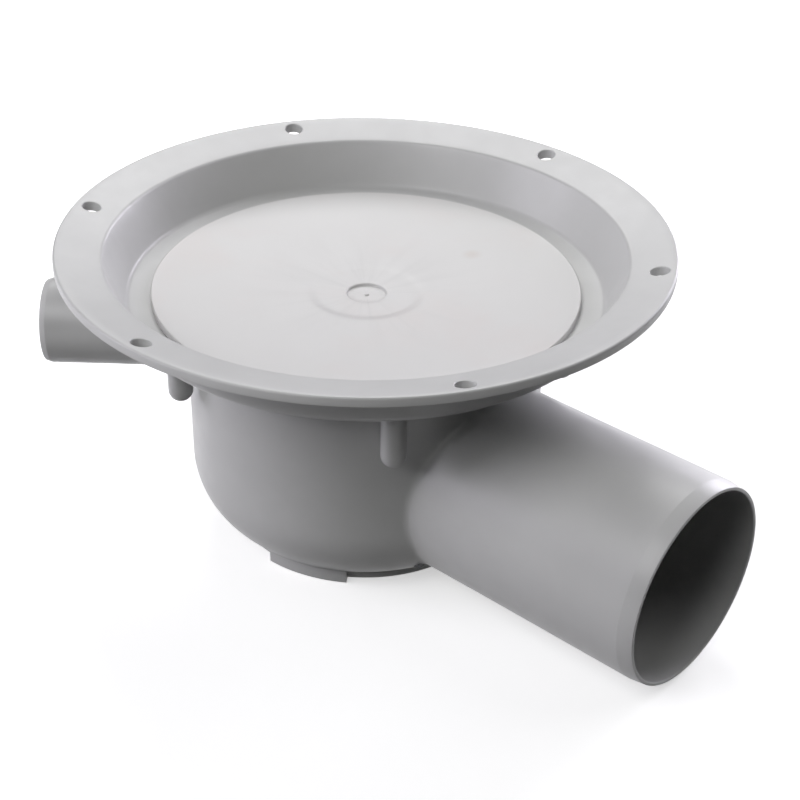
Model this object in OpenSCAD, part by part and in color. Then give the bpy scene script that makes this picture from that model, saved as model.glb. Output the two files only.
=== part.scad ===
// Floor drain body with a dished cover disc and a plug-in water trap.
// The drain stands on z = 0, its vertical axis is Z and its outlet points along +X.

/* [Flange] */
// Outer diameter of the flange
flange_d = 225; // [220:1:300]
// Height of the flange's rim above the base
height = 118; // [116:1:150]
// Thickness of the flange
flange_t = 3.6; // [2.6:0.1:5]
// How far the flange's top falls from its rim to the bowl's edge
flange_fall = 3.8; // [1:0.1:5]
// Number of fixing holes in the flange
hole_count = 6; // [3:1:12]
// Diameter of a fixing hole
hole_d = 7; // [3:0.5:8]
// Distance from the flange's edge to the middle of a fixing hole
hole_inset = 6.3; // [5:0.1:9]
// Width of the flange, from its rim to the bowl's edge
flange_w = 17.1; // [14:0.1:24]

/* [Bowl] */
// How far the bowl's wall leans in from its edge to its foot
bowl_lean = 7.4; // [4:0.1:10]
// Depth of the foot of the bowl's wall below the flange's rim
bowl_depth = 21.2; // [18:0.1:23]
// How far the bowl's floor falls from the foot of its wall to the neck
floor_fall = 2.4; // [1:0.1:3]
// Radius on the bowl's upper edge
bowl_edge_r = 1.8; // [0.5:0.1:3]
// Radius in the foot of the bowl's wall
bowl_foot_r = 2.5; // [1:0.1:4]
// Radius on the edge of the neck
neck_edge_r = 0.8; // [0.3:0.1:1.5]

/* [Sump] */
// Outer diameter of the sump
sump_d = 134; // [128:1:136]
// Wall thickness of the bowl and the sump
wall = 3; // [2.4:0.1:3.6]
// Outer radius between the sump's side and its bottom
sump_corner_r = 30; // [26:1:34]
// Distance from the sump's side to the outside of the ring rib under it
base_ring_inset = 16; // [14:0.5:22]
// Width of the ring rib
base_ring_w = 3; // [2:0.5:5]
// Distance that the pads stand out from the ring rib
pad_out = 3.5; // [2:0.5:6]
// Angle that one pad covers
pad_angle = 34; // [15:1:60]
// Angle from the outlet to the middle of the first two pads
pad_turn = 71; // [50:1:90]

/* [Outlet] */
// Outer diameter of the outlet pipe
outlet_d = 75; // [70:1:76]
// Wall thickness of the outlet pipe
outlet_wall = 2.1; // [1.8:0.1:3]
// Height of the outlet's axis above the base
outlet_z = 38.8; // [38.5:0.1:42]
// Distance from the drain's axis to the outlet's end
outlet_reach = 152.6; // [120:0.2:250]
// Length of the outlet's straight spigot, behind its chamfer
outlet_spigot_l = 60; // [40:1:70]
// Length of the chamfer on the outlet's end
outlet_chamfer_l = 5.7; // [2:0.1:8]
// Depth of the chamfer on the outlet's end
outlet_chamfer_h = 0.8; // [0.3:0.1:1.2]
// Radius of the fillet between the outlet and the sump
outlet_fillet_r = 3.5; // [2:0.5:5]

/* [Inlet] */
// Outer diameter of the side inlet
inlet_d = 32; // [25:1:32]
// Wall thickness of the side inlet
inlet_wall = 1.8; // [1.5:0.1:2.5]
// Height of the side inlet's axis above the base
inlet_z = 79; // [76:0.1:79.5]
// Distance from the drain's axis to the side inlet's end
inlet_reach = 120; // [100:1:180]
// Direction of the side inlet, measured from the outlet
inlet_turn = -139; // [-150:1:-125]
// Length of the side inlet's straight spigot, behind its chamfer
inlet_spigot_l = 24.8; // [18:0.2:25]
// Length of the chamfer on the side inlet's end
inlet_chamfer_l = 2.2; // [1:0.1:4]
// Depth of the chamfer on the side inlet's end
inlet_chamfer_h = 0.7; // [0.3:0.1:1]

/* [Posts] */
// Number of blind screw posts under the bowl
post_count = 5; // [3:1:5]
// Diameter of a screw post
post_d = 9; // [8:0.5:10]
// Gap between a post and the sump
post_gap = 2.5; // [1.5:0.1:4]
// Direction of the first post, measured from the outlet
post_turn = -39.5; // [-45:0.5:-36]
// Height of a post's round tip above the base
post_tip_z = 66.5; // [64:0.5:80]
// Diameter of the blind screw hole in a post
screw_hole_d = 4; // [3:0.1:5]
// Thickness left under a screw hole
screw_hole_end = 5; // [3:0.5:8]

/* [Cover disc] */
// Gap between the cover disc's edge and the foot of the bowl's wall
cover_margin = 8.8; // [5:0.1:12]
// Thickness of the cover disc at its rim
cover_t = 2.5; // [2:0.1:3.5]
// How far the cover disc's top is dished from its rim to its centre
cover_dish = 4.1; // [3:0.1:5]
// Diameter of the recess in the cover disc's centre
dimple_d = 14.4; // [8:0.2:20]
// Depth of the recess in the cover disc's centre
dimple_depth = 1; // [0.4:0.1:1.4]
// Diameter of the shallow step around the recess
halo_d = 36; // [26:1:44]
// Depth of the shallow step around the recess
halo_depth = 0.3; // [0.1:0.1:0.5]
// Depth of the locating lugs under the cover disc
lug_depth = 6; // [4:0.5:8]
// Thickness of the locating lugs
lug_t = 1.8; // [1.4:0.1:2.5]
// Angle that one locating lug covers
lug_angle = 40; // [20:1:60]

/* [Water trap] */
// Height of the water level that the trap holds
weir_z = 52; // [48:0.5:56]
// Height of the hood's open lower edge
hood_z = 10; // [8:0.5:14]
// Radius of the hood
hood_r = 30; // [26:0.5:31]
// Wall thickness of the hood and its spigot
trap_wall = 2; // [1.6:0.1:2.4]
// Length of the trap's spigot inside the outlet
plug_l = 20; // [16:0.5:30]
// Height of the pull loop above the hood
loop_h = 13; // [10:0.5:14]
// Width of the pull loop
loop_w = 30; // [26:1:40]
// Thickness of the pull loop
loop_t = 3; // [2:0.5:4]
// Length of the rubber seal along the spigot
seal_l = 7; // [5:0.5:9]

/* [Clearances] */
// Gap between the cover disc's locating lugs and the neck, on the radius
cover_gap = 0.6; // [0.3:0.1:1.2]
// Gap between the trap's collars and the outlet's bore, on the radius
plug_gap = 0.7; // [0.4:0.1:1]

/* [Hidden] */
$fn = 96;

// Amount by which a cutting solid passes a surface
over = 1;
// Largest gap between a rounded corner and its straight steps
step_gap = 0.03;
// Radius on the flange's upper outer edge, and on its lower one
rim_r = 0.8;
rim_under_r = 0.4;
// Radius in the corners between the flange, the bowl and the sump, seen from below
web_r = 2;
// Number of steps in the dished top of the cover disc
dish_steps = 16;
// Radius on the cover disc's upper outer edge
cover_edge_r = 0.5;
// Diameter and height of the moulding point in the cover disc's recess
gate_d = 1.6;
gate_h = 0.5;
// Slope width of the recess and the step in the cover disc
dimple_slope = 0.5;
halo_slope = 2.5;
// Radius of the underside of the cover disc's centre boss outside the recess
boss_margin = 3;
// Length of the collars that hold the rubber seal
collar_l = 2.5;
// Thickness of the rubber seal's sleeve, and length of its lip
seal_t = 1.2;
lip_l = 2.5;
// Directions of the pads, angle between the posts, and angle between the locating lugs
pad_turns = [-pad_turn, pad_turn, 180];
post_step = 360 / post_count;
lug_step = 120;
// Growth of a stub's radius from its straight spigot to the drain's axis
stub_draft = 0.5;
// Number of rings round the outlet's fillet, and of steps across it
fillet_rings = 60;
fillet_steps = 5;
// Depth that the fillet's edges sink into the walls that it joins
fillet_sink = 0.12;

flange_r = flange_d / 2;
bowl_r = flange_r - flange_w;
foot_r = bowl_r - bowl_lean;
sump_r = sump_d / 2;
neck_r = sump_r - wall;
outlet_r = outlet_d / 2;
outlet_bore_r = outlet_r - outlet_wall;
inlet_r = inlet_d / 2;
inlet_bore_r = inlet_r - inlet_wall;
post_r = post_d / 2;
post_circle_r = sump_r + post_gap + post_r;
cover_r = foot_r - cover_margin;

// Corners of the drain's inner face: the bowl's upper edge, the foot of its wall and the neck
edge_z = height - flange_fall;
foot_z = height - bowl_depth;
neck_z = foot_z - floor_fall;
rim_pt = [flange_r, height];
edge_pt = [bowl_r, edge_z];
foot_pt = [foot_r, foot_z];
neck_pt = [neck_r, neck_z];

// Height of the bowl's floor at radius r, and of the sump's outer face near its bottom
function floor_at(r) = foot_z - floor_fall * (foot_r - r) / (foot_r - neck_r);
function base_at(r) =
    let (run = max(0, r - (sump_r - sump_corner_r)))
    sump_corner_r - sqrt(sump_corner_r * sump_corner_r - run * run);

// Point where the line through a and b meets the line through c and d
function cross2(u, v) = u[0] * v[1] - u[1] * v[0];
function meet(a, b, c, d) = a + (b - a) * cross2(c - a, d - c) / cross2(b - a, d - c);
// Point p moved by t to the right of the direction from a to b
function beside(p, a, b, t) = p + t * [b[1] - a[1], a[0] - b[0]] / norm(b - a);

// A profile's corner p rounded with radius r between its neighbours a and b
function corner(a, p, b, r) =
    let (
        u = (a - p) / norm(a - p),
        v = (b - p) / norm(b - p),
        half = acos(u * v) / 2,
        cut = r / tan(half),
        centre = p + (u + v) / norm(u + v) * r / sin(half),
        from = p + u * cut - centre,
        to = p + v * cut - centre,
        turn = atan2(cross2(from, to), from * to),
        steps = max(3, ceil(abs(turn) / (2 * acos(1 - step_gap / r))))
    )
    [for (i = [0 : steps])
        let (k = turn * i / steps)
        centre + [from[0] * cos(k) - from[1] * sin(k), from[0] * sin(k) + from[1] * cos(k)]];

// A closed profile whose points carry the radius of their corner as a third value
function rounded(path) =
    let (n = len(path))
    [for (i = [0 : n - 1])
        let (
            p = [path[i][0], path[i][1]],
            a = [path[(i + n - 1) % n][0], path[(i + n - 1) % n][1]],
            b = [path[(i + 1) % n][0], path[(i + 1) % n][1]]
        )
        each (path[i][2] > 0 ? corner(a, p, b, path[i][2]) : [p])];

// The drain's face that lies t outside its inner face, from the axis up to the flange
function face_neck(t) =
    meet([neck_r + t, 0], [neck_r + t, height],
         beside(neck_pt, foot_pt, neck_pt, -t), beside(foot_pt, foot_pt, neck_pt, -t));
function face_foot(t) =
    meet(beside(neck_pt, foot_pt, neck_pt, -t), beside(foot_pt, foot_pt, neck_pt, -t),
         beside(foot_pt, edge_pt, foot_pt, -t), beside(edge_pt, edge_pt, foot_pt, -t));
function face_edge(t, drop) =
    meet(beside(foot_pt, edge_pt, foot_pt, -t), beside(edge_pt, edge_pt, foot_pt, -t),
         edge_pt - [0, drop], rim_pt - [0, drop]);
function with_r(p, r) = [p[0], p[1], r];

// Flange, bowl and sump turned from one profile of even thickness
module shell() {
    inner = [
        [0, wall, 0],
        [neck_r, wall, sump_corner_r - wall],
        with_r(neck_pt, neck_edge_r),
        with_r(foot_pt, bowl_foot_r),
        with_r(edge_pt, bowl_edge_r),
        with_r(rim_pt, rim_r)
    ];
    outer = [
        [flange_r, height - flange_t, rim_under_r],
        with_r(face_edge(wall, flange_t), web_r),
        with_r(face_foot(wall), bowl_foot_r + wall),
        with_r(face_neck(wall), web_r),
        [sump_r, 0, sump_corner_r],
        [0, 0, 0]
    ];
    rotate_extrude() polygon(rounded(concat(inner, outer)));
}

// The room that ends in the middle of the shell's wall
module core() {
    half = wall / 2;
    rotate_extrude()
        polygon(rounded([
            [0, half, 0],
            [neck_r + half, half, sump_corner_r - half],
            with_r(face_neck(half), 0),
            with_r(face_foot(half), 0),
            with_r(face_edge(half, 0), 0),
            [bowl_r, height + over, 0],
            [0, height + over, 0]
        ]));
}

// A pipe stub's solid: chamfered end, straight spigot, slight draft behind it, stopped in the wall
module stub(r, z, reach, spigot_l, chamfer_l, chamfer_h, turn) {
    difference() {
        rotate([0, 0, turn])
            translate([0, 0, z])
            rotate([0, 90, 0])
            rotate_extrude()
            polygon([
                [0, 0],
                [r + stub_draft, 0],
                [r, reach - chamfer_l - spigot_l],
                [r, reach - chamfer_l],
                [r - chamfer_h, reach],
                [0, reach]
            ]);
        core();
    }
}

// Radius of a ball's path round the sump at height z, for a ball of radius b that rolls on it
function ball_path(z, b) =
    z >= sump_corner_r
        ? sump_r + b
        : sump_r - sump_corner_r + sqrt(pow(sump_corner_r + b, 2) - pow(sump_corner_r - z, 2));

// Place on the sump's side, sunk by d, that a ball centred at c touches
function ball_touch(c, b, d) =
    let (
        path = norm([c[0], c[1]]),
        axis_r = sump_r - sump_corner_r,
        reach = norm([path - axis_r, sump_corner_r - c[2]]),
        share = (sump_corner_r - d) / reach,
        touch_r = c[2] >= sump_corner_r ? sump_r - d : axis_r + (path - axis_r) * share,
        touch_z = c[2] >= sump_corner_r ? c[2] : sump_corner_r - (sump_corner_r - c[2]) * share
    )
    [c[0] * touch_r / path, c[1] * touch_r / path, touch_z];

// Point at share k of the arc round c from point a to point b
function on_arc(c, a, b, k) =
    let (u = a - c, v = b - c, angle = acos(u * v / (norm(u) * norm(v))))
    c + (u * sin(angle * (1 - k)) + v * sin(angle * k)) / sin(angle);

// Fillet between the outlet and the sump: the track of a ball that rolls round in their corner
module outlet_fillet() {
    b = outlet_fillet_r;
    pipe_r = outlet_r + stub_draft * (1 - sump_r / (outlet_reach - outlet_chamfer_l - outlet_spigot_l));
    mid = outlet_wall / 2;
    ring = fillet_steps + 2;
    points = [for (i = [0 : fillet_rings - 1])
        let (
            turn = 360 * i / fillet_rings,
            out = [0, sin(turn), cos(turn)],
            up = [0, 0, outlet_z],
            on_track = up + out * (pipe_r + b),
            path = ball_path(on_track[2], b),
            c = [sqrt(path * path - on_track[1] * on_track[1]), on_track[1], on_track[2]],
            a = up + out * pipe_r + [c[0], 0, 0],
            s = ball_touch(c, b, 0),
            inside = up + out * (pipe_r - mid),
            root = [sqrt(pow(ball_path(inside[2], -mid), 2) - inside[1] * inside[1]), inside[1], inside[2]]
        )
        each concat(
            [a - out * fillet_sink],
            [for (j = [1 : fillet_steps - 1]) on_arc(c, a, s, j / fillet_steps)],
            [ball_touch(c, b, fillet_sink), root]
        )];
    faces = [for (i = [0 : fillet_rings - 1])
        let (n = (i + 1) % fillet_rings)
        each [for (j = [0 : ring - 1])
            let (k = (j + 1) % ring)
            each [
                [i * ring + j, n * ring + j, n * ring + k],
                [i * ring + j, n * ring + k, i * ring + k]
            ]]];
    polyhedron(points = points, faces = faces);
}

// The bore of a pipe stub, from inside the sump to past its end
module stub_bore(r, z, reach, turn) {
    start = neck_r * cos(45);
    rotate([0, 0, turn])
        translate([start, 0, z])
        rotate([0, 90, 0])
        cylinder(h = reach - start + over, r = r);
}

// Ring rib with its thicker pads, standing on the ground and rooted in the sump's bottom
module base_feet() {
    ring_r = sump_r - base_ring_inset;
    pad_r = ring_r + pad_out;
    in_r = ring_r - base_ring_w;
    root = wall / 2;
    rotate_extrude()
        polygon([
            [in_r, 0],
            [ring_r, 0],
            [ring_r, base_at(ring_r) + root],
            [in_r, base_at(in_r) + root]
        ]);
    for (turn = pad_turns)
        rotate([0, 0, turn - pad_angle / 2])
            rotate_extrude(angle = pad_angle)
            polygon([
                [ring_r - over, 0],
                [pad_r, 0],
                [pad_r, base_at(pad_r) + root],
                [ring_r - over, base_at(ring_r - over) + root]
            ]);
}

// Places its children at every screw post
module at_posts() {
    for (i = [0 : post_count - 1])
        rotate([0, 0, post_turn + i * post_step])
            translate([post_circle_r, 0, 0])
            children();
}

// A screw post with a round tip, rooted in the bowl's floor
module post() {
    top = floor_at(post_circle_r) - wall / 2;
    translate([0, 0, post_tip_z + post_r])
        cylinder(h = top - post_tip_z - post_r, r = post_r);
    translate([0, 0, post_tip_z + post_r])
        sphere(r = post_r);
}

module drain_body() {
    color([0.70, 0.70, 0.71])
    difference() {
        union() {
            shell();
            base_feet();
            stub(outlet_r, outlet_z, outlet_reach, outlet_spigot_l,
                 outlet_chamfer_l, outlet_chamfer_h, 0);
            stub(inlet_r, inlet_z, inlet_reach, inlet_spigot_l,
                 inlet_chamfer_l, inlet_chamfer_h, inlet_turn);
            outlet_fillet();
            at_posts() post();
        }
        stub_bore(outlet_bore_r, outlet_z, outlet_reach, 0);
        stub_bore(inlet_bore_r, inlet_z, inlet_reach, inlet_turn);
        at_posts()
            translate([0, 0, post_tip_z + screw_hole_end])
            cylinder(h = height, d = screw_hole_d);
        for (i = [0 : hole_count - 1])
            rotate([0, 0, (i + 0.5) * 360 / hole_count])
                translate([flange_r - hole_inset, 0, height / 2])
                cylinder(h = height, d = hole_d);
    }
}

// Height of the cover disc's dished top at radius r, before its recess and step
cover_rim_z = floor_at(cover_r) + cover_t;
function dish_at(r) = cover_rim_z - cover_dish * (1 - pow(r / cover_r, 2));

// Cover disc: lies on the bowl's floor, and its locating lugs drop into the neck
module cover_plate() {
    dimple_r = dimple_d / 2;
    halo_r = halo_d / 2;
    gate_r = gate_d / 2;
    boss_r = dimple_r + boss_margin;
    seat_r = neck_r + neck_edge_r;
    top_r = halo_r + halo_slope;
    dimple_z = dish_at(0) - halo_depth - dimple_depth;
    centre = [
        [0, dimple_z + gate_h],
        [gate_r, dimple_z + gate_h],
        [gate_r, dimple_z],
        [dimple_r - dimple_slope, dimple_z],
        [dimple_r, dish_at(dimple_r) - halo_depth],
        [halo_r, dish_at(halo_r) - halo_depth]
    ];
    dish = [for (i = [0 : dish_steps])
        let (r = top_r + (cover_r - cover_edge_r - top_r) * i / dish_steps)
        [r, dish_at(r)]];
    rim = [
        [cover_r - cover_edge_r * (1 - cos(45)), dish_at(cover_r) - cover_edge_r * (1 - sin(45))],
        [cover_r, dish_at(cover_r) - cover_edge_r],
        [cover_r, floor_at(cover_r)],
        [seat_r, floor_at(seat_r)]
    ];
    under_r = boss_r + dimple_depth;
    under = [for (i = [dish_steps : -1 : 0])
        let (r = under_r + (neck_r - 1 - under_r) * i / dish_steps)
        [r, dish_at(r) - cover_t]];
    boss = [
        [boss_r, dish_at(0) - cover_t - dimple_depth],
        [0, dish_at(0) - cover_t - dimple_depth]
    ];
    rotate_extrude()
        polygon(concat(centre, dish, rim, under, boss));
}

// Locating lugs under the cover disc, the first one midway between two so that none bars the inlet
module cover_lugs() {
    lug_r = neck_r - cover_gap;
    low_z = neck_z - lug_depth;
    for (i = [0 : 2])
        rotate([0, 0, inlet_turn + (i + 0.5) * lug_step - lug_angle / 2])
            rotate_extrude(angle = lug_angle)
            polygon([
                [lug_r - lug_t, low_z],
                [lug_r, low_z],
                [lug_r, dish_at(lug_r) - cover_t / 2],
                [lug_r - lug_t, dish_at(lug_r - lug_t) - cover_t / 2]
            ]);
}

module cover_disc() {
    color([0.80, 0.80, 0.79])
    union() {
        cover_plate();
        cover_lugs();
    }
}

// Sizes of the trap that follow from the outlet and the sump
collar_r = outlet_bore_r - plug_gap;
tube_r = outlet_bore_r - seal_t - plug_gap;
tube_bore_r = tube_r - trap_wall;
// The hood's flat back stands clear of the sump's round wall
hood_gap = 2;
hood_back = sqrt(pow(neck_r - hood_gap, 2) - pow(hood_r, 2));
hood_x = hood_back - hood_r / 3;
hood_top = outlet_z + tube_r + trap_wall;
plug_end = neck_r + plug_l;
seal_x = plug_end - collar_l - seal_l;

// Turns a profile given as [radius, distance] about the outlet's axis
module about_outlet() {
    translate([0, 0, outlet_z])
        rotate([0, 90, 0])
        rotate_extrude()
        children();
}

// The hood's plan: a disc with a flat back, shrunk by t on all sides
module hood_plan(t) {
    intersection() {
        translate([hood_x, 0]) circle(r = hood_r - t);
        translate([hood_x - hood_r, -hood_r]) square([hood_back - t - hood_x + hood_r, 2 * hood_r]);
    }
}

// Arch on top of the hood that a finger lifts
module pull_loop() {
    in_w = loop_w - 2 * loop_t;
    round_r = loop_w / 2;
    translate([hood_x - loop_t / 2, 0, hood_top - over])
        rotate([90, 0, 90])
        linear_extrude(height = loop_t)
        difference() {
            intersection() {
                translate([-loop_w / 2, 0]) square([loop_w, loop_h + over]);
                translate([0, loop_h + over - round_r]) circle(r = round_r);
            }
            intersection() {
                translate([-in_w / 2, -over]) square([in_w, loop_h + 2 * over - loop_t]);
                translate([0, loop_h + over - round_r]) circle(r = in_w / 2);
            }
        }
}

// Water trap: its hood dips into the water and its spigot plugs into the outlet
module trap_insert() {
    color([0.32, 0.33, 0.35])
    difference() {
        union() {
            translate([0, 0, hood_z])
                linear_extrude(height = hood_top - hood_z)
                hood_plan(0);
            about_outlet()
                polygon([
                    [0, hood_back - trap_wall],
                    [tube_r, hood_back - trap_wall],
                    [tube_r, seal_x - collar_l],
                    [collar_r, seal_x - collar_l],
                    [collar_r, seal_x],
                    [tube_r, seal_x],
                    [tube_r, seal_x + seal_l],
                    [collar_r, seal_x + seal_l],
                    [collar_r, plug_end],
                    [0, plug_end]
                ]);
            pull_loop();
        }
        translate([0, 0, hood_z - over])
            linear_extrude(height = hood_top - trap_wall - hood_z + over)
            hood_plan(trap_wall);
        translate([hood_back, 0, outlet_z])
            rotate([0, 90, 0])
            cylinder(h = plug_end - hood_back + over, r = tube_bore_r);
        intersection() {
            translate([hood_x, 0, outlet_z])
                rotate([0, 90, 0])
                cylinder(h = plug_end - hood_x, r = tube_bore_r);
            translate([hood_x, -hood_r + 2 * trap_wall, weir_z])
                cube([plug_end - hood_x, 2 * (hood_r - 2 * trap_wall), height]);
        }
    }
}

// Rubber seal: a sleeve between the trap's collars with a lip that touches the outlet's bore
module trap_seal() {
    color([0.12, 0.12, 0.13])
    about_outlet()
        polygon([
            [tube_r, seal_x],
            [tube_r + seal_t, seal_x],
            [tube_r + seal_t, seal_x + seal_l - lip_l],
            [outlet_bore_r, seal_x + (seal_l - lip_l) / 2],
            [outlet_bore_r, seal_x + seal_l - lip_l],
            [tube_r + seal_t, seal_x + seal_l],
            [tube_r, seal_x + seal_l]
        ]);
}

drain_body();
cover_disc();
trap_insert();
trap_seal();
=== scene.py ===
"""Floor drain: a moulded body with a dished cover disc, a water trap and its rubber seal.

Lengths are in metres. The drain stands on z = 0, its axis is Z and its outlet points along +X.
"""
import math

import bpy
import numpy as np
from mathutils import Matrix, Vector


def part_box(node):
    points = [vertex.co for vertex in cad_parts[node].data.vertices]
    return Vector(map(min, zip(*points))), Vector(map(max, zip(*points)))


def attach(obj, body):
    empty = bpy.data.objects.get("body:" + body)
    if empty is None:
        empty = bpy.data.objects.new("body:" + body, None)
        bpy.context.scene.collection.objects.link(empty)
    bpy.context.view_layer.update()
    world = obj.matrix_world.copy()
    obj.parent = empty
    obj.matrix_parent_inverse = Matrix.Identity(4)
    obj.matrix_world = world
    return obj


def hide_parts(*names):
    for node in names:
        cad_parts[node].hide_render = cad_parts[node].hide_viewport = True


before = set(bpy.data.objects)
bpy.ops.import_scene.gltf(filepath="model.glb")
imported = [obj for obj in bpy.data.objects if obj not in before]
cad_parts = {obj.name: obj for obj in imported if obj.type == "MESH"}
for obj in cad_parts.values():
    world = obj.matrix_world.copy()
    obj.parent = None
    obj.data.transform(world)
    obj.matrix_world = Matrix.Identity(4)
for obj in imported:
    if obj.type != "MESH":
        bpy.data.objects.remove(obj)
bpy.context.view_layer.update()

bl_info = {
    "name": "Floor drain",
    "version": (1, 0, 0),
    "blender": (4, 5, 0),
    "location": "View3D > Sidebar > Drain",
    "description": "Builds a moulded plastic floor drain around its measured frame",
    "category": "Object",
}

BODY_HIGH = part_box("drain_body")[1]
COVER_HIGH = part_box("cover_disc")[1]
MM = 0.001
# Points round a turned surface, and the longest straight step along its profile
ROUND = 256
STEP = 3.5 * MM
# Longest step along a rounded corner of a profile
ARC_STEP = 1.2 * MM
# Angle above which an edge stays sharp
CREASE = math.radians(28)
# Amount by which a cutting solid passes a surface
OVER = 2 * MM
# Growth of a stub's radius from its straight spigot to the drain's axis
DRAFT = 0.5 * MM
# Distance from the axis at which a stub's solid and its bore start, inside the sump
STUB_START = 20 * MM
BORE_START = 44 * MM
# Points round a pipe, a post and a screw hole
PIPE_ROUND = 192
POST_ROUND = 64
SCREW_ROUND = 32


def length(name, description, default):
    """A size in metres that the sidebar shows."""
    return bpy.props.FloatProperty(
        name=name, description=description, default=default, min=0.0,
        subtype="DISTANCE", unit="LENGTH", precision=4)


def turn(name, description, degrees):
    """An angle that the sidebar shows in degrees."""
    return bpy.props.FloatProperty(
        name=name, description=description, default=math.radians(degrees),
        subtype="ANGLE", unit="ROTATION")


def colour(name, description, default):
    """A colour that the sidebar shows."""
    return bpy.props.FloatVectorProperty(
        name=name, description=description, default=default, min=0.0, max=1.0,
        size=3, subtype="COLOR")


class DrainBodySizes(bpy.types.PropertyGroup):
    """Sizes of the moulded body."""
    flange_r: length("Flange radius", "Radius of the flange's rim", BODY_HIGH.y)
    height: length("Height", "Height of the flange's rim", 118 * MM)
    flange_t: length("Flange thickness", "Thickness of the flange", 3.6 * MM)
    flange_fall: length("Flange fall", "Fall of the flange's top to the bowl's edge", 3.8 * MM)
    flange_w: length("Flange width", "Width from the rim to the bowl's edge", 17.1 * MM)
    hole_r: length("Hole radius", "Radius of a fixing hole", 3.5 * MM)
    hole_inset: length("Hole inset", "Distance from the rim to a hole's middle", 6.3 * MM)
    bowl_lean: length("Bowl lean", "How far the bowl's wall leans in", 7.4 * MM)
    bowl_depth: length("Bowl depth", "Depth of the wall's foot below the rim", 21.2 * MM)
    floor_fall: length("Floor fall", "Fall of the bowl's floor to the neck", 2.4 * MM)
    sump_r: length("Sump radius", "Outer radius of the sump", 67 * MM)
    wall: length("Wall", "Thickness of the bowl and the sump", 3 * MM)
    corner_r: length("Sump corner", "Outer radius at the sump's bottom", 30 * MM)
    hole_count: bpy.props.IntProperty(
        name="Holes", description="Number of fixing holes", default=6, min=1)


class DrainPipeSizes(bpy.types.PropertyGroup):
    """Sizes of the two pipe stubs."""
    outlet_r: length("Outlet radius", "Outer radius of the outlet", 37.5 * MM)
    outlet_wall: length("Outlet wall", "Wall of the outlet", 2.1 * MM)
    outlet_z: length("Outlet height", "Height of the outlet's axis", 38.8 * MM)
    outlet_reach: length("Outlet reach", "Distance from the axis to its end", BODY_HIGH.x)
    outlet_spigot: length("Outlet spigot", "Length of its straight spigot", 60 * MM)
    outlet_chamfer: length("Outlet chamfer", "Length of its chamfer", 5.7 * MM)
    outlet_bevel: length("Outlet chamfer depth", "Depth of its chamfer", 0.8 * MM)
    fillet_r: length("Fillet", "Radius between the outlet and the sump", 3.5 * MM)
    inlet_r: length("Inlet radius", "Outer radius of the side inlet", 16 * MM)
    inlet_wall: length("Inlet wall", "Wall of the side inlet", 1.8 * MM)
    inlet_z: length("Inlet height", "Height of the side inlet's axis", 79 * MM)
    inlet_reach: length("Inlet reach", "Distance from the axis to its end", 120 * MM)
    inlet_spigot: length("Inlet spigot", "Length of its straight spigot", 24.8 * MM)
    inlet_chamfer: length("Inlet chamfer", "Length of its chamfer", 2.2 * MM)
    inlet_bevel: length("Inlet chamfer depth", "Depth of its chamfer", 0.7 * MM)
    inlet_turn: turn("Inlet turn", "Direction of the side inlet from the outlet", -139)


class DrainDetailSizes(bpy.types.PropertyGroup):
    """Sizes of the screw posts and the feet."""
    post_r: length("Post radius", "Radius of a screw post", 4.5 * MM)
    post_circle_r: length("Post circle", "Radius of the circle of posts", 74 * MM)
    post_tip_z: length("Post tip", "Height of a post's round tip", 66.5 * MM)
    post_count: bpy.props.IntProperty(
        name="Posts", description="Number of screw posts", default=5, min=1)
    post_turn: turn("Post turn", "Direction of the first post", -39.5)
    screw_r: length("Screw hole", "Radius of a blind screw hole", 2 * MM)
    screw_end: length("Screw hole end", "Thickness left under a screw hole", 5 * MM)
    rib_r: length("Rib radius", "Outer radius of the ring rib", 51 * MM)
    rib_w: length("Rib width", "Width of the ring rib", 3 * MM)
    pad_out: length("Pad depth", "How far a pad stands out from the rib", 3.5 * MM)
    pad_angle: turn("Pad angle", "Angle that one pad covers", 34)
    pad_turn: turn("Pad turn", "Angle from the outlet to a pad's middle", 71)


class DrainCoverSizes(bpy.types.PropertyGroup):
    """Sizes of the cover disc."""
    radius: length("Radius", "Radius of the disc", COVER_HIGH.y)
    thickness: length("Thickness", "Thickness at the disc's rim", 2.5 * MM)
    dish: length("Dish", "Depth of the dished top", 4.1 * MM)
    dimple_r: length("Recess radius", "Radius of the centre recess", 7.2 * MM)
    dimple_depth: length("Recess depth", "Depth of the centre recess", 1 * MM)
    halo_r: length("Step radius", "Radius of the shallow step", 18 * MM)
    halo_depth: length("Step depth", "Depth of the shallow step", 0.3 * MM)
    gate_r: length("Point radius", "Radius of the moulding point", 0.8 * MM)
    gate_h: length("Point height", "Height of the moulding point", 0.5 * MM)
    lug_depth: length("Lug depth", "Depth of the locating lugs", 6 * MM)
    lug_t: length("Lug thickness", "Thickness of the locating lugs", 1.8 * MM)
    lug_gap: length("Lug gap", "Gap between the lugs and the neck", 0.6 * MM)
    lug_angle: turn("Lug angle", "Angle that one lug covers", 40)


class DrainColours(bpy.types.PropertyGroup):
    """Colours of the plastics and the rubber."""
    body: colour("Body", "Moulded body", (0.595, 0.597, 0.592))
    cover: colour("Cover", "Cover disc", (0.66, 0.655, 0.65))
    flow: colour("Flow marks", "Blush of the cover's flow marks", (0.66, 0.60, 0.585))
    smudge: colour("Smudge", "Faint stain on the cover", (0.52, 0.43, 0.37))
    trap: colour("Trap", "Water trap", (0.085, 0.09, 0.1))
    seal: colour("Seal", "Rubber seal", (0.02, 0.02, 0.022))
    floor: colour("Floor", "Plain studio floor", (0.9, 0.9, 0.9))


def unit(vector):
    """The vector at length one."""
    return vector / np.linalg.norm(vector)


def quarter(count):
    """Angles from 0 to a right angle."""
    return np.linspace(0, np.pi / 2, count)


def cross2(u, v):
    """Cross product of two plane vectors."""
    return u[0] * v[1] - u[1] * v[0]


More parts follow.
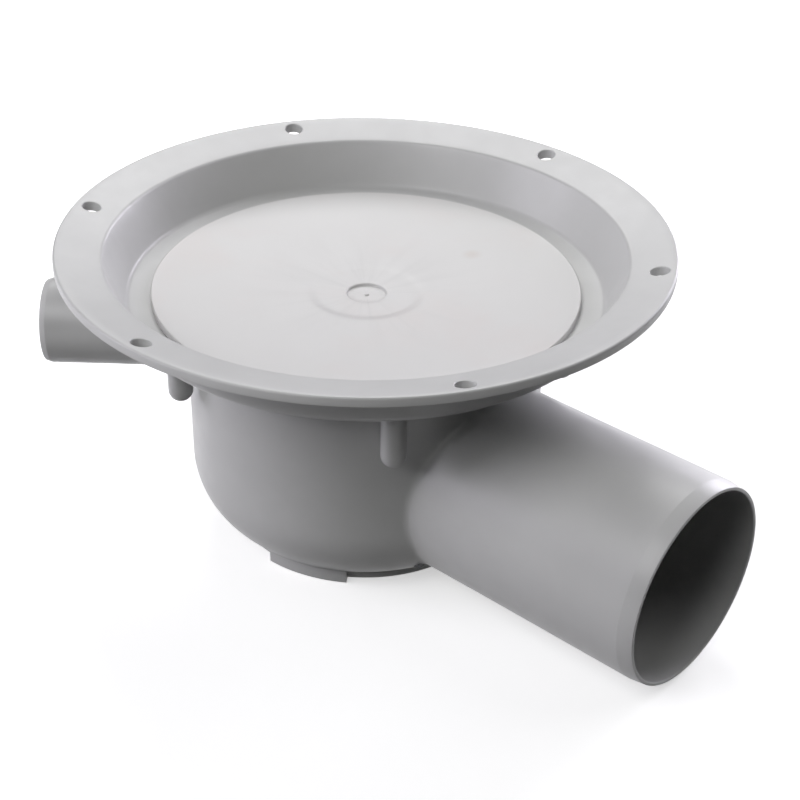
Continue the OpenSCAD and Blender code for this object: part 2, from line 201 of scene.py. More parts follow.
def meeting(a, b, c, d):
    """Point where the line through a and b meets the line through c and d."""
    return a + (b - a) * cross2(c - a, d - c) / cross2(b - a, d - c)


def moved(a, b, t):
    """The line from a to b, moved by t to the left of its direction."""
    shift = t * unit(np.array([a[1] - b[1], b[0] - a[0]]))
    return a + shift, b + shift


def rounded(before, at, after, radius):
    """Arc of a radius that touches both sides of a corner: centre + start turned by 0 to the arc's angle."""
    u = unit(before - at)
    v = unit(after - at)
    half = math.acos(float(u @ v)) / 2
    centre = at + unit(u + v) * radius / math.sin(half)
    start = at + u * radius / math.tan(half) - centre
    end = at + v * radius / math.tan(half) - centre
    swing = math.atan2(cross2(start, end), float(start @ end))
    count = max(5, math.ceil(abs(swing) * radius / ARC_STEP) + 1)
    k = np.linspace(0, swing, count)
    return centre + np.stack([
        start[0] * np.cos(k) - start[1] * np.sin(k),
        start[0] * np.sin(k) + start[1] * np.cos(k)], 1)


def divided(points, closed):
    """Points on the same straight pieces, at most STEP apart: a + (b - a) k / n for k = 0 to n - 1."""
    after = np.roll(points, -1, 0)
    if not closed:
        points, after, last = points[:-1], after[:-1], points[-1:]
    count = np.maximum(1, np.ceil(np.linalg.norm(after - points, axis=1) / STEP)).astype(int)
    row = np.repeat(np.arange(len(points)), count)
    share = (np.arange(count.sum()) - np.repeat(np.cumsum(count) - count, count)) / count[row]
    made = points[row] + (after - points)[row] * share[:, None]
    return made if closed else np.concatenate([made, last])


def outline(corners):
    """A closed profile from rows (radius, height, corner radius), with its corners rounded."""
    rows = np.array(corners, float)
    parts = [
        rounded(before[:2], at[:2], after[:2], at[2]) if at[2] > 0 else at[None, :2]
        for before, at, after in zip(np.roll(rows, 1, 0), rows, np.roll(rows, -1, 0))]
    return np.concatenate(parts)


def solid(points, faces):
    """Points and faces with every face turned outwards: the signed volume of the whole is positive."""
    tri = np.concatenate([f[:, [0, k, k + 1]] for f in faces for k in range(1, f.shape[1] - 1)])
    a, b, c = points[tri[:, 0]], points[tri[:, 1]], points[tri[:, 2]]
    if np.einsum("ij,ij->", a, np.cross(b, c)) < 0:
        faces = [f[:, ::-1] for f in faces]
    return points, faces


def turned(profile, count=ROUND):
    """A profile (r, z) turned about Z: (r cos a, r sin a, z). Ends on the axis become poles, and a
    profile that stays off the axis closes on itself."""
    poles = profile[0, 0] < 1e-9
    rows = divided(profile, not poles)
    inner = rows[1:-1] if poles else rows
    a = np.arange(count) * 2 * np.pi / count
    points = np.stack([
        np.outer(inner[:, 0], np.cos(a)),
        np.outer(inner[:, 0], np.sin(a)),
        np.repeat(inner[:, 1:], count, 1)], -1).reshape(-1, 3)
    n = len(inner)
    i = np.arange(n - 1 if poles else n)[:, None] * count
    j = np.arange(count)[None, :]
    nxt = (j + 1) % count
    up = (i + count) % (n * count)
    quads = np.stack([i + j, i + nxt, up + nxt, up + j], -1).reshape(-1, 4)
    faces = [quads]
    if poles:
        ends = [[0, 0, rows[0, 1]], [0, 0, rows[-1, 1]]]
        points = np.concatenate([points, ends])
        j, nxt = j[0], nxt[0]
        top = (n - 1) * count
        faces.append(np.stack([np.full(count, n * count), nxt, j], 1))
        faces.append(np.stack([np.full(count, n * count + 1), top + j, top + nxt], 1))
    return solid(points, faces)


def sector(profile, middle, angle):
    """A closed profile (r, z) swept about Z over an angle round its middle, with a flat face at each end."""
    rows = divided(profile, True)
    n = len(rows)
    count = max(3, math.ceil(angle * ROUND / (2 * math.pi)))
    a = middle + np.linspace(-angle / 2, angle / 2, count)
    points = np.stack([
        np.outer(np.cos(a), rows[:, 0]),
        np.outer(np.sin(a), rows[:, 0]),
        np.tile(rows[:, 1], (count, 1))], -1).reshape(-1, 3)
    i = np.arange(count - 1)[:, None] * n
    j = np.arange(n)[None, :]
    nxt = (j + 1) % n
    quads = np.stack([i + j, i + nxt, i + n + nxt, i + n + j], -1).reshape(-1, 4)
    first = np.arange(n)[None, ::-1]
    last = first[:, ::-1] + (count - 1) * n
    return solid(points, [quads, first, last])


def placed(shape, axis=(0, 0, 1), origin=(0, 0, 0)):
    """A shape whose Z axis is turned to point along axis, and then moved to origin."""
    points, faces = shape
    turn_to = np.array(Vector(axis).to_track_quat("Z", "Y").to_matrix())
    return points @ turn_to.T + np.array(origin), faces


def piece(name, shape):
    """A mesh object at the origin, made of the shape's points and faces."""
    points, faces = shape
    mesh = bpy.data.meshes.new(name)
    mesh.from_pydata(points.tolist(), [], [row for f in faces for row in f.tolist()])
    mesh.validate()
    made = bpy.data.objects.new(name, mesh)
    bpy.context.scene.collection.objects.link(made)
    return made


def boolean(target, tools, operation):
    """Unites the tools with the target or cuts them from it, keeps the result as its mesh and
    removes the tools."""
    for tool in tools:
        change = target.modifiers.new(tool.name, "BOOLEAN")
        change.operation = operation
        change.solver = "MANIFOLD"
        change.object = tool
    bpy.context.view_layer.update()
    seen = target.evaluated_get(bpy.context.evaluated_depsgraph_get())
    result = bpy.data.meshes.new_from_object(seen)
    if not result.polygons:
        raise RuntimeError(f"{target.name}: nothing is left after {operation}")
    target.modifiers.clear()
    old = target.data
    target.data = result
    bpy.data.meshes.remove(old)
    for tool in tools:
        mesh = tool.data
        bpy.data.objects.remove(tool)
        bpy.data.meshes.remove(mesh)
    return target


def finished(made, finish):
    made.data.shade_smooth()
    made.data.set_sharp_from_angle(angle=CREASE)
    made.data.materials.clear()
    made.data.materials.append(finish)
    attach(made, "root")
    return made


def body_faces(sizes, t, drop):
    """Corners of the body's face that lies t outside its inner one, at the neck, the bowl's foot and
    its edge, where the flange's top is lowered by drop."""
    rim = np.array([sizes.flange_r, sizes.height])
    edge = rim - [sizes.flange_w, sizes.flange_fall]
    foot = np.array([edge[0] - sizes.bowl_lean, sizes.height - sizes.bowl_depth])
    neck = np.array([sizes.sump_r - sizes.wall, foot[1] - sizes.floor_fall])
    side = np.array([neck[0] + t, 0]), np.array([neck[0] + t, sizes.height])
    floor = moved(neck, foot, -t)
    wall = moved(foot, edge, -t)
    top = edge - [0, drop], rim - [0, drop]
    return meeting(*side, *floor), meeting(*floor, *wall), meeting(*wall, *top), rim - [0, drop]


def shell_shape(sizes):
    """Flange, bowl and sump turned from one profile of even wall."""
    neck, foot, edge, rim = body_faces(sizes, 0, 0)
    out_neck, out_foot, out_edge, out_rim = body_faces(sizes, sizes.wall, sizes.flange_t)
    return turned(outline([
        [0, sizes.wall, 0],
        [neck[0], sizes.wall, sizes.corner_r - sizes.wall],
        [*neck, 0.8 * MM],
        [*foot, 2.5 * MM],
        [*edge, 1.8 * MM],
        [*rim, 0.8 * MM],
        [*out_rim, 0.4 * MM],
        [*out_edge, 2 * MM],
        [*out_foot, 2.5 * MM + sizes.wall],
        [*out_neck, 2 * MM],
        [sizes.sump_r, 0, sizes.corner_r],
        [0, 0, 0],
    ]))


def core_shape(sizes):
    """The room inside the middle of the shell's wall, up through the flange."""
    half = sizes.wall / 2
    neck, foot, edge, _ = body_faces(sizes, half, 0)
    return turned(outline([
        [0, half, 0],
        [neck[0], half, sizes.corner_r - half],
        [*neck, 0],
        [*foot, 0],
        [*edge, 0],
        [edge[0], sizes.height + OVER, 0],
        [0, sizes.height + OVER, 0],
    ]))


def stub_shape(radius, reach, spigot, chamfer, depth, direction, z):
    """A pipe stub along a level direction: slight draft, straight spigot and a soft chamfer."""
    edge = reach - chamfer
    profile = outline([
        [0, STUB_START, 0],
        [radius + DRAFT * (1 - STUB_START / (edge - spigot)), STUB_START, 0],
        [radius, edge - spigot, 0],
        [radius, edge, depth],
        [radius - depth, reach, 0.3 * MM],
        [0, reach, 0],
    ])
    return placed(turned(profile, PIPE_ROUND), direction, (0, 0, z))


def bore_shape(radius, reach, direction, z):
    """The bore of a pipe stub with a soft edge at its mouth."""
    soft = 0.3 * MM
    profile = outline([
        [0, BORE_START, 0],
        [radius, BORE_START, 0],
        [radius, reach - soft, soft],
        [radius + soft, reach, 0],
        [radius + soft, reach + OVER, 0],
        [0, reach + OVER, 0],
    ])
    return placed(turned(profile, PIPE_ROUND), direction, (0, 0, z))


def fillet_shape(sizes, pipes):
    """Fillet between the outlet and the sump. A ball of the fillet's radius b rolls round in their
    corner. At the angle a its centre is y = (R + b) sin a, z = z0 + (R + b) cos a, and x is where it
    touches the sump: x = sqrt(p^2 - y^2), with p = S + b beside the straight wall and
    p = S - c + sqrt((c + b)^2 - (c - z)^2) beside the rounded corner c. The skin is the arc between
    the two places that it touches, and the section closes inside both walls."""
    b = pipes.fillet_r
    s, c = sizes.sump_r, sizes.corner_r
    spigot_start = pipes.outlet_reach - pipes.outlet_chamfer - pipes.outlet_spigot
    r = pipes.outlet_r + DRAFT * (1 - s / spigot_start)
    sink = 0.08 * MM
    steps = 9
    a = np.arange(PIPE_ROUND) * 2 * np.pi / PIPE_ROUND
    out = np.stack([np.zeros_like(a), np.sin(a), np.cos(a)], 1)
    axis = np.array([0, 0, pipes.outlet_z])

    def path(z, ball):
        low = np.minimum(z, c)
        return np.where(z >= c, s + ball, s - c + np.sqrt((c + ball) ** 2 - (c - low) ** 2))

    def on_sump(centre, deep):
        run = np.hypot(centre[:, 0], centre[:, 1])
        low = np.minimum(centre[:, 2], c)
        span = np.hypot(run - (s - c), c - low)
        share = (c - deep) / span
        touch_r = np.where(centre[:, 2] >= c, s - deep, s - c + (run - (s - c)) * share)
        touch_z = np.where(centre[:, 2] >= c, centre[:, 2], c - (c - low) * share)
        return np.stack([centre[:, 0] * touch_r / run, centre[:, 1] * touch_r / run, touch_z], 1)

    track = axis + out * (r + b)
    centre = track.copy()
    centre[:, 0] = np.sqrt(path(track[:, 2], b) ** 2 - track[:, 1] ** 2)
    on_pipe = axis + out * r + centre[:, :1] * [1, 0, 0]
    u = on_pipe - centre
    v = on_sump(centre, 0) - centre
    angle = np.arccos(np.clip(np.einsum("ij,ij->i", u, v) / b ** 2, -1, 1))[:, None]
    k = np.arange(1, steps)[:, None, None] / steps
    skin = centre + (u * np.sin(angle * (1 - k)) + v * np.sin(angle * k)) / np.sin(angle)
    root = axis + out * (r - pipes.outlet_wall / 2)
    root[:, 0] = np.sqrt(path(root[:, 2], -pipes.outlet_wall / 2) ** 2 - root[:, 1] ** 2)
    rings = np.concatenate([(on_pipe - out * sink)[None], skin, on_sump(centre, sink)[None], root[None]])
    rows, count = len(rings), len(a)
    i = np.arange(rows)[:, None] * count
    j = np.arange(count)[None, :]
    nxt = (j + 1) % count
    up = (i + count) % (rows * count)
    quads = np.stack([i + j, i + nxt, up + nxt, up + j], -1).reshape(-1, 4)
    return solid(rings.reshape(-1, 3), [quads])


def corner_height(sizes, r):
    """Height of the sump's outer face at a radius near its bottom: c - sqrt(c^2 - (r - S + c)^2)."""
    c = sizes.corner_r
    return c - math.sqrt(c * c - max(0.0, r - sizes.sump_r + c) ** 2)


def floor_height(sizes, r):
    """Height of the bowl's sloping floor at a radius."""
    neck, foot, _, _ = body_faces(sizes, 0, 0)
    return neck[1] + (foot[1] - neck[1]) * (r - neck[0]) / (foot[0] - neck[0])


def feet_shapes(sizes, detail):
    """Ring rib under the sump and its three thicker pads."""
    root = sizes.wall / 2
    rib, inside, pad = detail.rib_r, detail.rib_r - detail.rib_w, detail.rib_r + detail.pad_out
    deep = rib - 1 * MM
    soft = 0.35 * MM
    ring = outline([
        [inside, 0, soft],
        [rib, 0, soft],
        [rib, corner_height(sizes, rib) + root, 0],
        [inside, corner_height(sizes, inside) + root, 0],
    ])
    block = outline([
        [deep, 0.02 * MM, 0],
        [pad, 0.02 * MM, soft],
        [pad, corner_height(sizes, pad) + root, 0],
        [deep, corner_height(sizes, deep) + root, 0],
    ])
    middles = (-detail.pad_turn, detail.pad_turn, math.pi)
    return [turned(ring)] + [sector(block, middle, detail.pad_angle) for middle in middles]


def post_centres(detail):
    """Places of the screw posts on their circle."""
    a = detail.post_turn + np.arange(detail.post_count) * 2 * np.pi / detail.post_count
    return np.stack([detail.post_circle_r * np.cos(a), detail.post_circle_r * np.sin(a), 0 * a], 1)


def post_shape(sizes, detail, centre):
    """A round-tipped screw post that flares a little where it meets the bowl."""
    r = detail.post_r
    flare = 1.2 * MM
    top = floor_height(sizes, detail.post_circle_r) - sizes.wall
    k = quarter(14)
    tip = np.stack([r * np.sin(k), detail.post_tip_z + r - r * np.cos(k)], 1)
    k = quarter(7)
    root = np.stack([r + flare * (1 - np.cos(k)), top - flare + flare * np.sin(k)], 1)
    end = top + sizes.wall / 2
    profile = np.concatenate([tip, root, [[r + flare, end], [0, end]]])
    return placed(turned(profile, POST_ROUND), origin=centre)


def hole_shapes(sizes):
    """Fixing holes: a straight bore, and a shallow rounded mouth square to the sloping flange."""
    slope = math.atan2(sizes.flange_fall, sizes.flange_w)
    r = sizes.hole_r
    soft = 0.45 * MM
    centre_r = sizes.flange_r - sizes.hole_inset
    centre_z = sizes.height - sizes.hole_inset * math.tan(slope)
    bore = outline([[0, -0.01, 0], [r, -0.01, 0], [r, 0.01, 0], [0, 0.01, 0]])
    k = quarter(6)
    lip = np.stack([r + soft * (1 - np.cos(k)), soft * (np.sin(k) - 1)], 1)
    mouth = np.concatenate([[[0, -soft]], lip, [[r + soft, OVER], [0, OVER]]])
    shapes = []
    for a in (np.arange(sizes.hole_count) + 0.5) * 2 * math.pi / sizes.hole_count:
        centre = (centre_r * math.cos(a), centre_r * math.sin(a), centre_z)
        square = (-math.sin(slope) * math.cos(a), -math.sin(slope) * math.sin(a), math.cos(slope))
        shapes.append(placed(turned(bore, POST_ROUND), origin=centre))
        shapes.append(placed(turned(mouth, POST_ROUND), square, centre))
    return shapes


def cover_shape(sizes, cover):
    """Dished disc: its top is z = rim - dish (1 - (r / R)^2), with a step and a recess at its centre."""
    rim_z = floor_height(sizes, cover.radius) + cover.thickness

    def dish(r):
        return rim_z - cover.dish * (1 - (r / cover.radius) ** 2)

    low = cover.halo_depth
    base = dish(0) - low - cover.dimple_depth
    neck = sizes.sump_r - sizes.wall
    seat = neck + 0.8 * MM
    nub_r, foot_r, lip_r, edge_r = 0.25 * MM, 0.4 * MM, 0.6 * MM, 0.5 * MM
    k = quarter(5)
    gate = np.stack([
        cover.gate_r - nub_r + nub_r * np.sin(k),
        base + cover.gate_h - nub_r + nub_r * np.cos(k)], 1)
    foot = np.stack([
        cover.dimple_r - foot_r * (1 - np.sin(k)),
        base + foot_r * (1 - np.cos(k))], 1)
    k = quarter(6)
    lip = np.stack([
        cover.dimple_r + lip_r * (1 - np.cos(k)),
        dish(cover.dimple_r) - low - lip_r * (1 - np.sin(k))], 1)
    edge = np.stack([
        cover.radius - edge_r * (1 - np.sin(k)),
        dish(cover.radius) - edge_r * (1 - np.cos(k))], 1)[1:]
    ease = np.linspace(0, 1, 10)[1:-1]
    out_r = cover.halo_r + 4.5 * MM
    slope_r = cover.halo_r + (out_r - cover.halo_r) * ease
    step = np.stack([slope_r, dish(slope_r) - low * (1 - ease ** 2 * (3 - 2 * ease))], 1)
    inner_r = np.linspace(cover.dimple_r + lip_r, cover.halo_r, 8)
    top_r = np.linspace(out_r, cover.radius - edge_r, 40)
    boss = cover.dimple_r + 3 * MM
    under_r = np.linspace(neck - 1 * MM, boss + cover.dimple_depth, 24)
    profile = np.concatenate([
        [[0, base + cover.gate_h]],
        gate,
        [[cover.gate_r + 0.05 * MM, base]],
        foot,
        lip,
        np.stack([inner_r, dish(inner_r) - low], 1)[1:],
        step,
        np.stack([top_r, dish(top_r)], 1),
        edge,
        [[cover.radius, floor_height(sizes, cover.radius)], [seat, floor_height(sizes, seat)]],
        np.stack([under_r, dish(under_r) - cover.thickness], 1),
        [[boss, dish(0) - cover.thickness - cover.dimple_depth],
         [0, dish(0) - cover.thickness - cover.dimple_depth]],
    ])
    return turned(profile)


def lug_shapes(sizes, cover, pipes):
    """Three locating lugs under the disc, placed so that none stands before the inlet."""
    out_r = sizes.sump_r - sizes.wall - cover.lug_gap
    in_r = out_r - cover.lug_t
    neck = body_faces(sizes, 0, 0)[0]
    rim_z = floor_height(sizes, cover.radius) + cover.thickness
    top = rim_z - cover.dish * (1 - (in_r / cover.radius) ** 2) - cover.thickness / 2
    profile = outline([
        [in_r, neck[1] - cover.lug_depth, 0.4 * MM],
        [out_r, neck[1] - cover.lug_depth, 0.4 * MM],
        [out_r, top, 0],
        [in_r, top, 0],
    ])
    first = pipes.inlet_turn + math.pi / 3
    return [sector(profile, first + k * 2 * math.pi / 3, cover.lug_angle) for k in range(3)]


class Socket:
    """A shader value with Python's arithmetic: each operator adds one Math node."""

    def __init__(self, finish, output):
        self.finish = finish
        self.output = output

    def math(self, operation, *values):
        made = self.finish.node("ShaderNodeMath", {"operation": operation}, dict(enumerate(values)))
        return made["Value"]

    def __add__(self, other):
        return self.math("ADD", self, other)

    __radd__ = __add__

    def __sub__(self, other):
        return self.math("SUBTRACT", self, other)

    def __rsub__(self, other):
        return self.math("SUBTRACT", other, self)

    def __mul__(self, other):
        return self.math("MULTIPLY", self, other)

    __rmul__ = __mul__

    def __truediv__(self, other):
        return self.math("DIVIDE", self, other)

    def __rtruediv__(self, other):
        return self.math("DIVIDE", other, self)

    def __pow__(self, other):
        return self.math("POWER", self, other)

    def __rpow__(self, other):
        return self.math("POWER", other, self)

    def smooth(self, low, high):
        """0 below low, 1 above high, and a smooth step between them."""
        made = self.finish.node(
            "ShaderNodeMapRange", {"interpolation_type": "SMOOTHSTEP"},
            {"Value": self, "From Min": low, "From Max": high})
        return made["Result"]


class Made:
    """A node that was added; its outputs are read by name."""

    def __init__(self, finish, node):
        self.finish = finish
        self.node = node

    def __getitem__(self, name):
        return Socket(self.finish, self.node.outputs[name])


class Finish:
    """The node tree of one material."""

    def __init__(self, name):
        self.material = bpy.data.materials.new(name)
        self.material.use_nodes = True
        self.tree = self.material.node_tree
        self.tree.nodes.clear()
        self.place = self.node("ShaderNodeTexCoord")["Object"]

    def node(self, kind, settings=None, sockets=None):
        """Adds a node of a type with its settings, then fills its sockets with values or links."""
        made = self.tree.nodes.new(kind)
        for key, value in (settings or {}).items():
            if key == "stops":
                ramp = made.color_ramp
                while len(ramp.elements) < len(value):
                    ramp.elements.new(1.0)
                for element, (position, shade) in zip(ramp.elements, value):
                    element.position = position
                    element.color = (*shade, 1.0)
            else:
                setattr(made, key, value)
        for key, value in (sockets or {}).items():
            if isinstance(value, Socket):
                self.tree.links.new(value.output, made.inputs[key])
            else:
                made.inputs[key].default_value = value
        return Made(self, made)

    def noise(self, scale, detail=2.0, vector=None, roughness=0.5):
        """Noise from 0 to 1 at a scale in cycles per metre."""
        return self.node("ShaderNodeTexNoise", {"noise_dimensions": "3D"}, {
            "Vector": vector or self.place, "Scale": scale, "Detail": detail,
            "Roughness": roughness})["Fac"]

    def blend(self, share, first, second):
        """Colour mix of two colours by a share."""
        made = self.tree.nodes.new("ShaderNodeMix")
        made.data_type = "RGBA"
        for index, value in ((0, share), (6, first), (7, second)):
            if isinstance(value, Socket):
                self.tree.links.new(value.output, made.inputs[index])
            elif index == 0:
                made.inputs[index].default_value = value
            else:
                made.inputs[index].default_value = (*value, 1.0)
        return Socket(self, made.outputs[2])

    def bump(self, height, distance, strength=1.0, normal=None):
        """Bump from a height of 0 to 1 that stands for a distance in metres."""
        sockets = {"Height": height, "Distance": distance, "Strength": strength}
        if normal:
            sockets["Normal"] = normal
        return self.node("ShaderNodeBump", None, sockets)["Normal"]

    def surface(self, colour_socket, roughness, normal, **constants):
        """The shader itself; constants are set on its own sockets."""
        shader = self.node("ShaderNodeBsdfPrincipled", None, {
            "Base Color": colour_socket, "Roughness": roughness, "Normal": normal, **constants})
        self.node("ShaderNodeOutputMaterial", None, {"Surface": shader["BSDF"]})
        return self.material


def shade(base, factor):
    """A colour made lighter or darker."""
    return tuple(min(1.0, value * factor) for value in base)


def body_finish(colours):
    """Grey moulded plastic: faint clouds in the colour, a fine grain and a satin gloss."""
    f = Finish("moulded_grey_plastic")
    base = tuple(colours.body)
    cloud = f.noise(22, 3.0).smooth(0.3, 0.7)
    mottle = f.noise(160, 3.0).smooth(0.35, 0.65)
    tone = f.blend(cloud, shade(base, 0.965), shade(base, 1.03))
    tone = f.blend(mottle * 0.35, tone, shade(base, 0.985))
    gloss = 0.30 + 0.07 * f.noise(70, 3.0) + 0.05 * mottle
    wave = f.bump(f.noise(45, 2.0), 0.10 * MM)
    grain = f.bump(f.noise(2400, 2.0), 0.004 * MM, normal=wave)
    return f.surface(tone, gloss, grain, **{"IOR": 1.49})


def cover_finish(colours):
    """Cover plastic: flow marks that stream from the moulding point, and a faint blush in bands."""
    f = Finish("cover_plastic")
    parts = f.node("ShaderNodeSeparateXYZ", None, {"Vector": f.place})
    x, y = parts["X"], parts["Y"]
    square = x * x + y * y + 1e-8
    r = square.math("SQRT", square)
    stream = f.node("ShaderNodeCombineXYZ", None, {
        "X": x / r * 5.0, "Y": y / r * 5.0, "Z": r * 22.0})["Vector"]
    streak = f.noise(1.0, 4.0, stream).smooth(0.42, 0.72)
    band = f.noise(26, 3.0).smooth(0.45, 0.75)
    near = 1.0 - r.smooth(0.012, 0.060)
    base = tuple(colours.cover)
    tone = f.blend(f.noise(30, 2.0), shade(base, 0.985), shade(base, 1.015))
    tone = f.blend(band * 0.35, tone, tuple(colours.flow))
    tone = f.blend(streak * near * 0.45, tone, shade(base, 0.90))
    away = (x - 0.0102) * (x - 0.0102) + (y - 0.0485) * (y - 0.0485)
    stain = 1.0 - away.math("SQRT", away).smooth(0.5 * MM, 5 * MM)
    tone = f.blend(stain * 0.28, tone, tuple(colours.smudge))
    gloss = 0.27 + 0.06 * f.noise(55, 2.0) + 0.06 * streak * near
    wave = f.bump(f.noise(38, 2.0), 0.06 * MM)
    flow = f.bump(streak * near, 0.012 * MM, normal=wave)
    grain = f.bump(f.noise(2600, 2.0), 0.002 * MM, normal=flow)
    return f.surface(tone, gloss, grain, **{"IOR": 1.49, "Specular IOR Level": 0.36})


def trap_finish(colours):
    """Dark grey plastic of the trap, satin, with a light film of dust on it."""
    f = Finish("trap_plastic")
    base = tuple(colours.trap)
    dust = f.noise(120, 4.0).smooth(0.45, 0.8)
    tone = f.blend(dust * 0.3, base, shade(base, 1.5))
    gloss = 0.36 + 0.12 * f.noise(60, 3.0)
    grain = f.bump(f.noise(1800, 2.0), 0.006 * MM)
    return f.surface(tone, gloss, grain, **{"IOR": 1.49})


def seal_finish(colours):
    """Black rubber with a soft bloom."""
    f = Finish("seal_rubber")
    base = tuple(colours.seal)
    bloom = f.noise(200, 3.0).smooth(0.4, 0.8)
    tone = f.blend(bloom * 0.4, base, shade(base, 1.8))
    gloss = 0.55 + 0.15 * bloom
    grain = f.bump(f.noise(1500, 3.0), 0.01 * MM)
    return f.surface(tone, gloss, grain)


class OBJECT_OT_drain_body(bpy.types.Operator):
    """Builds the moulded body: flange, bowl, sump, both pipe stubs, posts and feet"""
    bl_idname = "object.drain_body"
    bl_label = "Moulded body"

    def execute(self, context):
        scene = context.scene
        sizes, pipes, detail = scene.drain_body, scene.drain_pipes, scene.drain_detail
        along = (math.cos(pipes.inlet_turn), math.sin(pipes.inlet_turn), 0)
        stubs = [
            piece("outlet_stub", stub_shape(
                pipes.outlet_r, pipes.outlet_reach, pipes.outlet_spigot, pipes.outlet_chamfer,
                pipes.outlet_bevel, (1, 0, 0), pipes.outlet_z)),
            piece("inlet_stub", stub_shape(
                pipes.inlet_r, pipes.inlet_reach, pipes.inlet_spigot, pipes.inlet_chamfer,
                pipes.inlet_bevel, along, pipes.inlet_z))]
        for stub in stubs:
            boolean(stub, [piece("core", core_shape(sizes))], "DIFFERENCE")
        joined = stubs + [piece("outlet_fillet", fillet_shape(sizes, pipes))]
        joined += [piece("foot", shape) for shape in feet_shapes(sizes, detail)]
        joined += [piece("post", post_shape(sizes, detail, centre)) for centre in post_centres(detail)]
        body = piece("moulded_body", shell_shape(sizes))
        boolean(body, joined, "UNION")
        cuts = [
            bore_shape(pipes.outlet_r - pipes.outlet_wall, pipes.outlet_reach, (1, 0, 0), pipes.outlet_z),
            bore_shape(pipes.inlet_r - pipes.inlet_wall, pipes.inlet_reach, along, pipes.inlet_z)]
        cuts += hole_shapes(sizes)
        end = detail.post_tip_z + detail.screw_end
        screw = outline([
            [0, end, 0], [detail.screw_r, end, 0],
            [detail.screw_r, sizes.height, 0], [0, sizes.height, 0]])
        cuts += [
            placed(turned(screw, SCREW_ROUND), origin=centre) for centre in post_centres(detail)]
        boolean(body, [piece("cut", shape) for shape in cuts], "DIFFERENCE")
        finished(body, body_finish(scene.drain_colours))
        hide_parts("drain_body")
        return {"FINISHED"}


class OBJECT_OT_drain_cover(bpy.types.Operator):
    """Builds the dished cover disc with its centre recess and locating lugs"""
    bl_idname = "object.drain_cover"
    bl_label = "Cover disc"

    def execute(self, context):
        scene = context.scene
        sizes, cover = scene.drain_body, scene.drain_cover
        disc = piece("dished_cover", cover_shape(sizes, cover))
        lugs = [piece("lug", shape) for shape in lug_shapes(sizes, cover, scene.drain_pipes)]
        boolean(disc, lugs, "UNION")
        finished(disc, cover_finish(scene.drain_colours))
        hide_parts("cover_disc")
        return {"FINISHED"}


class OBJECT_OT_drain_trap(bpy.types.Operator):
    """Gives the water trap and its rubber seal their finishes"""
    bl_idname = "object.drain_trap"
    bl_label = "Trap and seal"

    def execute(self, context):
        colours = context.scene.drain_colours
        for name, finish in (("trap_insert", trap_finish(colours)), ("trap_seal", seal_finish(colours))):
            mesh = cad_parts[name].data
            mesh.materials.clear()
            mesh.materials.append(finish)
        return {"FINISHED"}


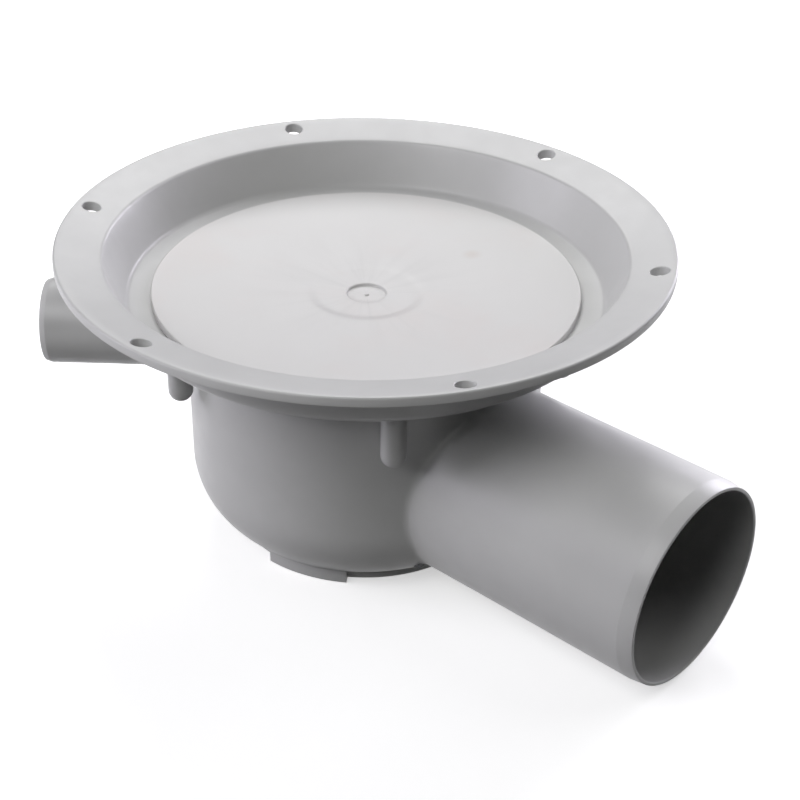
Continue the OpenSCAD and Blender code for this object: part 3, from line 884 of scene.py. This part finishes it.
class OBJECT_OT_drain_stage(bpy.types.Operator):
    """Sets the pale floor, the soft studio lights and the camera"""
    bl_idname = "object.drain_stage"
    bl_label = "Studio"

    def execute(self, context):
        scene = context.scene
        self.floor(scene)
        self.world(scene)
        self.lights(scene)
        self.camera(scene)
        scene.view_settings.view_transform = "Standard"
        return {"FINISHED"}

    def floor(self, scene):
        half = 3.0
        corners = np.array([[-half, -half, 0], [half, -half, 0], [half, half, 0], [-half, half, 0]])
        ground = piece("floor", (corners, [np.array([[0, 1, 2, 3]])]))
        f = Finish("pale_floor")
        base = tuple(scene.drain_colours.floor)
        tone = f.blend(f.noise(3, 2.0), shade(base, 0.99), shade(base, 1.01))
        parts = f.node("ShaderNodeSeparateXYZ", None, {"Vector": f.place})
        square = parts["X"] * parts["X"] + parts["Y"] * parts["Y"]
        far = square.math("SQRT", square).smooth(0.25, 0.9)
        glow = f.blend(far, (0.52, 0.52, 0.52), (1.0, 1.0, 1.0))
        ground.data.materials.append(f.surface(
            tone, 0.8, f.bump(f.noise(400, 2.0), 0.01 * MM),
            **{"Emission Color": glow, "Emission Strength": 1.0, "Specular IOR Level": 0.1}))
        ground.visible_diffuse = False

    def world(self, scene):
        world = bpy.data.worlds.new("studio")
        scene.world = world
        world.use_nodes = True
        nodes, links = world.node_tree.nodes, world.node_tree.links
        backdrop = nodes["Background"]
        backdrop.inputs["Color"].default_value = (1, 1, 1, 1)
        seen = nodes.new("ShaderNodeLightPath").outputs["Is Camera Ray"]
        links.new(seen, backdrop.inputs["Strength"])

    def lights(self, scene):
        aim = Vector((0, 0, 0.07))
        cool, plain = (0.985, 0.955, 1.06), (1.0, 1.0, 1.0)
        for name, around, above, watts, tint in (
                ("back_low", 90, 15, 14.0, cool),
                ("left_low", 225, 15, 7.6, cool),
                ("right_high", 45, 45, 2.6, plain),
                ("back_high", 135, 45, 8.6, plain),
                ("front_high", 270, 45, 8.6, plain)):
            data = bpy.data.lights.new(name, "AREA")
            data.shape = "DISK"
            data.size = 0.9
            data.energy = watts
            data.color = tint
            a, e = math.radians(around), math.radians(above)
            out = Vector((math.cos(e) * math.cos(a), math.cos(e) * math.sin(a), math.sin(e)))
            lamp = bpy.data.objects.new(name, data)
            lamp.location = aim + 1.4 * out
            lamp.rotation_euler = (-out).to_track_quat("-Z", "Y").to_euler()
            scene.collection.objects.link(lamp)

    def camera(self, scene):
        data = bpy.data.cameras.new("photo_view")
        data.sensor_width = 36
        data.lens = 71.76
        data.clip_start = 0.02
        data.clip_end = 20
        place = Vector((0.357457, -0.382388, 0.374434))
        ahead = (Vector((-0.040329, 0.065332, 0)) - place).normalized()
        level = ahead.cross(Vector((0, 0, 1))).normalized()
        upright = level.cross(ahead)
        roll = math.radians(1.226)
        right = level * math.cos(roll) + upright * math.sin(roll)
        top = (-ahead).cross(right)
        camera = bpy.data.objects.new("photo_view", data)
        camera.matrix_world = Matrix.Translation(place) @ Matrix((right, top, -ahead)).transposed().to_4x4()
        scene.collection.objects.link(camera)
        scene.camera = camera


class VIEW3D_PT_drain(bpy.types.Panel):
    """Lists the drain's sizes, colours and building steps"""
    bl_idname = "VIEW3D_PT_drain"
    bl_label = "Floor drain"
    bl_space_type = "VIEW_3D"
    bl_region_type = "UI"
    bl_category = "Drain"

    def draw(self, context):
        for title, group in (
                ("Body", context.scene.drain_body),
                ("Pipes", context.scene.drain_pipes),
                ("Posts and feet", context.scene.drain_detail),
                ("Cover", context.scene.drain_cover),
                ("Colours", context.scene.drain_colours)):
            box = self.layout.box()
            box.label(text=title)
            for name in group.__annotations__:
                box.prop(group, name)
        for step in STEPS:
            self.layout.operator(step.bl_idname)


GROUPS = {
    "drain_body": DrainBodySizes,
    "drain_pipes": DrainPipeSizes,
    "drain_detail": DrainDetailSizes,
    "drain_cover": DrainCoverSizes,
    "drain_colours": DrainColours,
}
STEPS = (OBJECT_OT_drain_stage, OBJECT_OT_drain_body, OBJECT_OT_drain_cover, OBJECT_OT_drain_trap)


def register():
    """Registers the groups, the building steps and the panel."""
    for name, group in GROUPS.items():
        bpy.utils.register_class(group)
        setattr(bpy.types.Scene, name, bpy.props.PointerProperty(type=group))
    for item in (*STEPS, VIEW3D_PT_drain):
        bpy.utils.register_class(item)


def unregister():
    """Takes back what register() added."""
    for item in (VIEW3D_PT_drain, *reversed(STEPS)):
        bpy.utils.unregister_class(item)
    for name, group in reversed(GROUPS.items()):
        delattr(bpy.types.Scene, name)
        bpy.utils.unregister_class(group)


def main():
    """Builds the drain."""
    register()
    bpy.ops.object.drain_stage()
    bpy.ops.object.drain_body()
    bpy.ops.object.drain_cover()
    bpy.ops.object.drain_trap()


if __name__ == "__main__":
    main()
